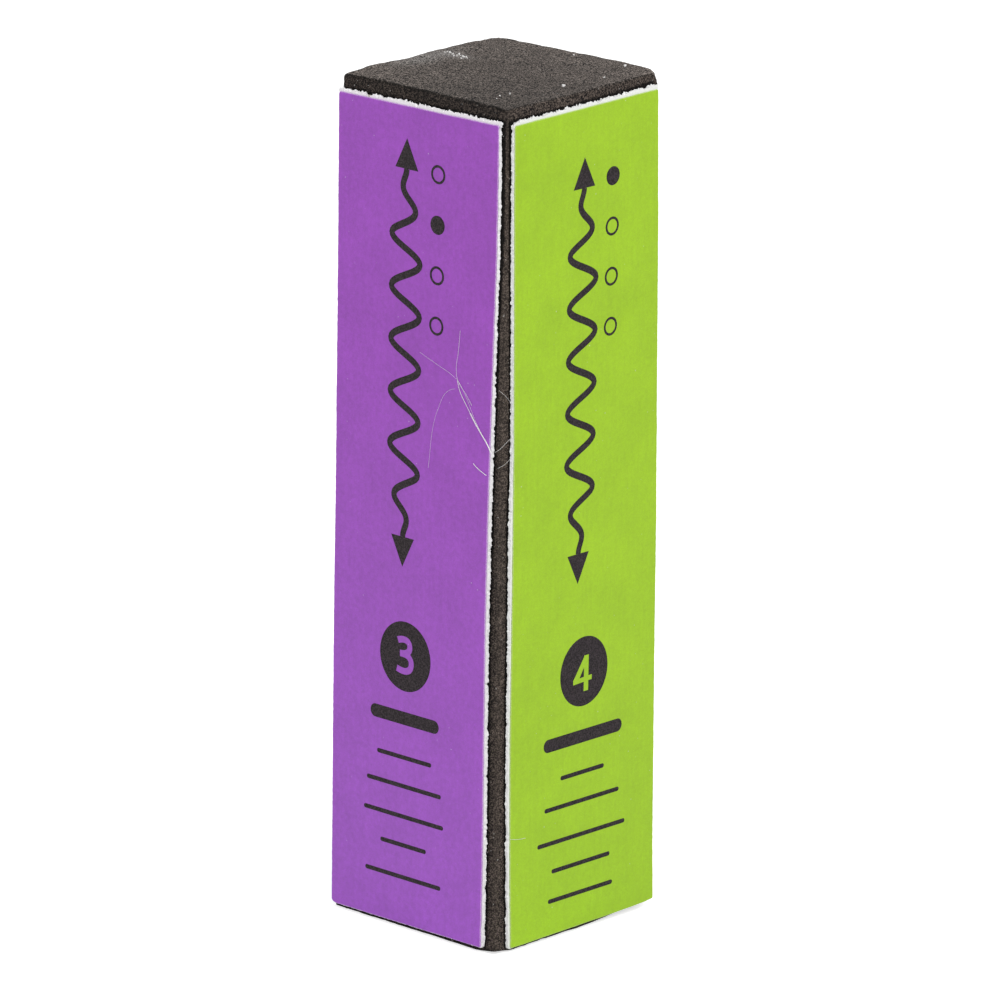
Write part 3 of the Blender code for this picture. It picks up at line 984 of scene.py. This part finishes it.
def foam_surface():
    """Grainy cells, faint streaks down the sides, painted light, painted shade at rims and strips, and dust.
    """
    surface, shader = new_surface("foam", Roughness=0.95, Specular_IOR_Level=0.2)
    place = object_place(surface)
    fine = speckle(surface, place, FINE_CELL_SIZE, 0.0)
    cells = speckle(surface, place, CELL_SIZE, 2.0, 0.6)
    streaks = speckle(surface, object_place(surface, (1.0, 1.0, 0.2)), SLIT_STREAK_WIDTH, 2.0, 0.6)
    blotches = speckle(surface, place, BLOTCH_SIZE, 2.0)
    end = attribute(surface, "cut_end")
    pits = spread(surface, fine, 0.42, 0.58)
    pits = combined(surface, pits, attribute(surface, "rounding"), "MAXIMUM")
    side_colour = mixed(surface, pits, FOAM_PIT, FOAM_SIDE)
    end_colour = mixed(surface, pits, FOAM_PIT, FOAM_END)
    colour = mixed(surface, end, side_colour, end_colour)
    # The tone attribute carries the painted light and shade of the sides and the near edge, and the tones of
    # the ends.
    shade = varied(surface, attribute(surface, "painted_light_and_tone"), blotches, 0.88, 1.12)
    shade = varied(surface, shade, cells, 0.42, 1.60)
    shade = varied(surface, shade, streaks, 0.82, 1.18)
    ragged = spread(surface, cells, NOISE_LOW, NOISE_HIGH, -0.3, 0.3)
    # Painted shade beside the strips' cuts, with ragged edges.
    parted = combined(surface, ragged, attribute(surface, "seam"), "ADD")
    shade = combined(surface, shade, spread(surface, parted, 0.3, 1.0, SEAM_SHADE, 1.0))
    # Painted shade along the rims where the ends meet the long sides.
    rim_shade_reach = combined(surface, ragged, attribute(surface, "rim"), "ADD")
    shade = combined(surface, shade, spread(surface, rim_shade_reach, 0.3, 1.0, RIM_SHADE, 1.0))
    colour = shaded(surface, colour, shade)
    flecks = spread(surface, speckle(surface, place, FLECK_SIZE, 0.0), 0.83, 0.87, 0.0, 0.5)
    dusty = combined(surface, attribute(surface, "haze"), spread(surface, fine, 0.40, 0.62))
    dusty = combined(surface, dusty, flecks, "MAXIMUM")
    bump = raised(surface, blotches, 0.10 * MM)
    bump = raised(surface, cells, 0.12 * MM, bump)
    bump = raised(surface, fine, 0.04 * MM, bump)
    return painted(surface, shader, mixed(surface, dusty, colour, FOAM_DUST), bump)


core = finished_piece("foam_bar", foam_bar(), foam_surface(), ["foam_core"])


# Adhesive film. The real piece is a thin, slightly milky transfer film under each strip, trimmed a
# little inside the cut. Only its edge can be seen, from close by, in the seam under the backing.
GLUE = (0.62, 0.58, 0.48)
GLUE_MILK = (0.80, 0.78, 0.70)
MILK_SIZE = 0.6 * MM


def adhesive_surface():
    """Clear-ish glue with a faint milky mottle."""
    surface, shader = new_surface("adhesive_film", Roughness=0.35)
    milk = speckle(surface, object_place(surface), MILK_SIZE, 2.0)
    colour = mixed(surface, milk, GLUE, GLUE_MILK)
    return painted(surface, shader, colour, raised(surface, milk, 0.02 * MM))


glue = adhesive_surface()
for name in STRIPS:
    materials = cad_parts[name + "_adhesive"].data.materials
    materials.clear()
    materials.append(glue)


# Lint and dust. A few pale fibres cling to the block, and crumbs of white dust from the backings lie
# on the upper end. A fibre has its radius and its places in mm on a strip's own side, or in degrees
# round the near long edge and mm up it. Crumbs are in mm on the end.
FIBRE_LIFT = 0.06 * MM
FIBRES = [
    ("polish", 0.062, ((8.1, 13.3), (8.8, 12.4), (9.45, 11.66), (10.81, 10.14), (11.2, 9.5))),
    ("polish", 0.030, ((6.1, 16.6), (6.6, 15.3), (7.4, 14.2), (8.1, 13.3), (8.9, 12.2))),
    ("polish", 0.016, ((6.45, 22.2), (6.2, 19.7), (5.94, 17.66), (6.2, 16.6), (7.5, 15.2), (8.3, 14.2))),
    ("polish", 0.012, ((6.0, 16.8), (6.9, 15.8), (7.7, 14.6), (8.6, 13.0), (9.6, 11.6))),
    ("polish", 0.012, ((0.57, 18.62), (3.11, 17.77), (5.06, 17.15), (6.0, 16.7))),
    ("polish", 0.012, ((5.8, 15.6), (5.0, 15.3), (4.2, 14.6), (3.35, 12.9), (2.77, 11.4), (1.97, 6.0))),
    ("polish", 0.038, ((8.63, 7.8), (9.31, 7.38), (10.57, 6.85))),
    ("near edge", 0.014, ((15, 9.4), (35, 9.8), (60, 10.5), (80, 10.9))),
    ("near edge", 0.013, ((30, 16.4), (55, 15.8), (80, 15.0))),
    ("near edge", 0.013, ((30, 7.7), (55, 8.1), (80, 8.6))),
    ("shine", 0.018, ((-10.75, -34.3), (-9.4, -34.6), (-8.3, -34.71))),
]
CRUMBS = [
    (9.26, -0.23, 0.18), (8.3, 10.7, 0.18), (9.93, 5.55, 0.10), (0.74, 10.7, 0.09),
    (7.55, -6.79, 0.10), (7.41, -8.21, 0.09), (8.01, -9.38, 0.06),
]
CRUMB_ANGULARITY = 1.2
SMEAR_START = Vector((-10.6, 2.2))
SMEAR_END = Vector((-6.9, 1.8))
SMEAR_WIDTH = 0.3
SMEAR_CRUMBS = 22
SMEAR_RADII = (0.04, 0.11)
DUST_WHITE = (0.96, 0.95, 0.94)
DUST_SHADE = (0.86, 0.84, 0.83)
DIRT_SIZE = 0.08 * MM


def dust_surface(name):
    """Dull white, a little dirty."""
    surface, shader = new_surface(name, Roughness=0.9, Specular_IOR_Level=0.2)
    dirt = speckle(surface, object_place(surface), DIRT_SIZE, 1.0)
    return painted(surface, shader, mixed(surface, dirt, DUST_SHADE, DUST_WHITE))


def lying(carrier, across, height):
    """Where one place of a fibre lies, on a strip or on the rounded near edge of the foam."""
    if carrier in STRIPS:
        return side_frame(carrier) @ Vector((across * MM, height * MM, SHEET_TOP + FIBRE_LIFT))
    turn = math.radians(across)
    radius = LONG_EDGE_RADII[(1, -1)]
    centre = CORE_SIDE / 2 - radius
    out = Vector((math.sin(turn), -math.cos(turn), 0.0))
    place = Vector((centre, -centre, CORE_LENGTH / 2 + height * MM)) + out * radius
    return place + filled_out(place) + out * FIBRE_LIFT


def fibre(bm, carrier, radius, places):
    """One fibre that lies in a loose curve."""
    drawn, spline = round_stroke("fibre", "BEZIER", radius * MM)
    spline.bezier_points.add(len(places) - 1)
    for point, (across, height) in zip(spline.bezier_points, places):
        point.co = lying(carrier, across, height)
        point.handle_left_type = "AUTO"
        point.handle_right_type = "AUTO"
    add_drawn(bm, drawn, Matrix.Identity(4))


def crumb(bm, x, y, radius):
    """One angular crumb that lies on the upper end."""
    place = Vector((x * MM, y * MM, CORE_LENGTH + end_rise(x * MM, y * MM) + radius * MM / 2))
    made = bmesh.ops.create_icosphere(
        bm, subdivisions=2, radius=radius * MM, matrix=Matrix.Translation(place),
    )
    for vert in made["verts"]:
        away = vert.co - place
        vert.co += away * CRUMB_ANGULARITY * noise.noise(vert.co / (radius * MM))


fibres = bmesh.new()
for carrier, radius, places in FIBRES:
    fibre(fibres, carrier, radius, places)
finished_piece("lint_fibres", fibres, dust_surface("lint"))

dust = bmesh.new()
for x, y, radius in CRUMBS:
    crumb(dust, x, y, radius)
chance = random.Random(4)
for _ in range(SMEAR_CRUMBS):
    spot = SMEAR_START.lerp(SMEAR_END, chance.random())
    spot += Vector((0.0, chance.gauss(0.0, SMEAR_WIDTH)))
    crumb(dust, spot.x, spot.y, chance.uniform(*SMEAR_RADII))
finished_piece("dust_crumbs", dust, dust_surface("dust"))


# Stage. A plain white floor under a white surround, a broad soft light above and to the right, and
# a weak one in front on the left. The camera has a long lens and looks down at the near edge.
FLOOR_HALF_SIZE = 4.0
FLOOR_WHITE = (0.80, 0.80, 0.80, 1.0)
FLOOR_GLOW = 0.64
SURROUND = 0.57
KEY = dict(power=11.6, size=1.2, azimuth=78.0, elevation=52.0, distance=1.6)
FILL = dict(power=3.4, size=1.2, azimuth=-15.0, elevation=25.0, distance=1.8)
CAMERA_AZIMUTH = 42.914
CAMERA_ELEVATION = 16.013
CAMERA_ROLL = 0.848
CAMERA_DISTANCE = 984.354 * MM
CAMERA_LENS = 323.19
CAMERA_SENSOR = 36.0
CAMERA_AIM_HEIGHT = 47.0 * MM
CAMERA_SLIDE = Vector((0.478 * MM, -0.139 * MM))


def seen(holder):
    """1 for rays that show the background: from the camera, and off or through gloss."""
    path = node(holder, "LightPath", {}).outputs
    glossy = combined(holder, path["Is Camera Ray"], path["Is Glossy Ray"], "MAXIMUM")
    return combined(holder, glossy, path["Is Transmission Ray"], "MAXIMUM")


def direction(azimuth, elevation):
    """From the object towards a place round it, as the camera's angles are given."""
    a, e = math.radians(azimuth), math.radians(elevation)
    return Vector((math.sin(a) * math.cos(e), -math.cos(a) * math.cos(e), math.sin(e)))


def soft_light(name, power, size, azimuth, elevation, distance):
    """A square soft light that faces the middle of the block."""
    lamp = bpy.data.lights.new(name, "AREA")
    lamp.shape = "SQUARE"
    lamp.size = size
    lamp.energy = power
    towards = direction(azimuth, elevation)
    placed = linked(name, lamp)
    placed.location = Vector((0.0, 0.0, CORE_LENGTH / 2)) + towards * distance
    placed.rotation_euler = towards.to_track_quat("Z", "Y").to_euler()


floor_bm = bmesh.new()
bmesh.ops.create_grid(floor_bm, x_segments=1, y_segments=1, size=FLOOR_HALF_SIZE)
floor = mesh_object("floor", floor_bm)
floor_paint, floor_shader = new_surface(
    "floor_white", Base_Color=FLOOR_WHITE, Emission_Color=(1.0, 1.0, 1.0, 1.0),
    Roughness=1.0, Specular_IOR_Level=0.0,
)
glow = combined(floor_paint, seen(floor_paint), FLOOR_GLOW)
floor_paint.node_tree.links.new(glow, floor_shader.inputs["Emission Strength"])
floor.data.materials.append(floor_paint)

world = bpy.data.worlds.new("surround")
world.use_nodes = True
bpy.context.scene.world = world
background = world.node_tree.nodes["Background"]
background.inputs["Color"].default_value = (1.0, 1.0, 1.0, 1.0)
strength = spread(world, seen(world), 0.0, 1.0, SURROUND, 1.0)
world.node_tree.links.new(strength, background.inputs["Strength"])

soft_light("key_light", **KEY)
soft_light("fill_light", **FILL)

camera_data = bpy.data.cameras.new("camera")
camera_data.lens = CAMERA_LENS
camera_data.sensor_width = CAMERA_SENSOR
camera_data.clip_start = 0.05
camera_data.clip_end = 20.0
camera = linked("camera", camera_data)
back = direction(CAMERA_AZIMUTH, CAMERA_ELEVATION)
level_right = direction(CAMERA_AZIMUTH + 90.0, 0.0)
level_up = back.cross(level_right)
roll = math.radians(CAMERA_ROLL)
camera_right = math.cos(roll) * level_right + math.sin(roll) * level_up
camera_up = -math.sin(roll) * level_right + math.cos(roll) * level_up
eye = (
    Vector((0.0, 0.0, CAMERA_AIM_HEIGHT)) + back * CAMERA_DISTANCE
    + camera_right * CAMERA_SLIDE.x + camera_up * CAMERA_SLIDE.y
)
turned = Matrix((camera_right, camera_up, back)).transposed().to_4x4()
camera.matrix_world = Matrix.Translation(eye) @ turned
bpy.context.scene.camera = camera
bpy.context.scene.view_settings.view_transform = "Standard"
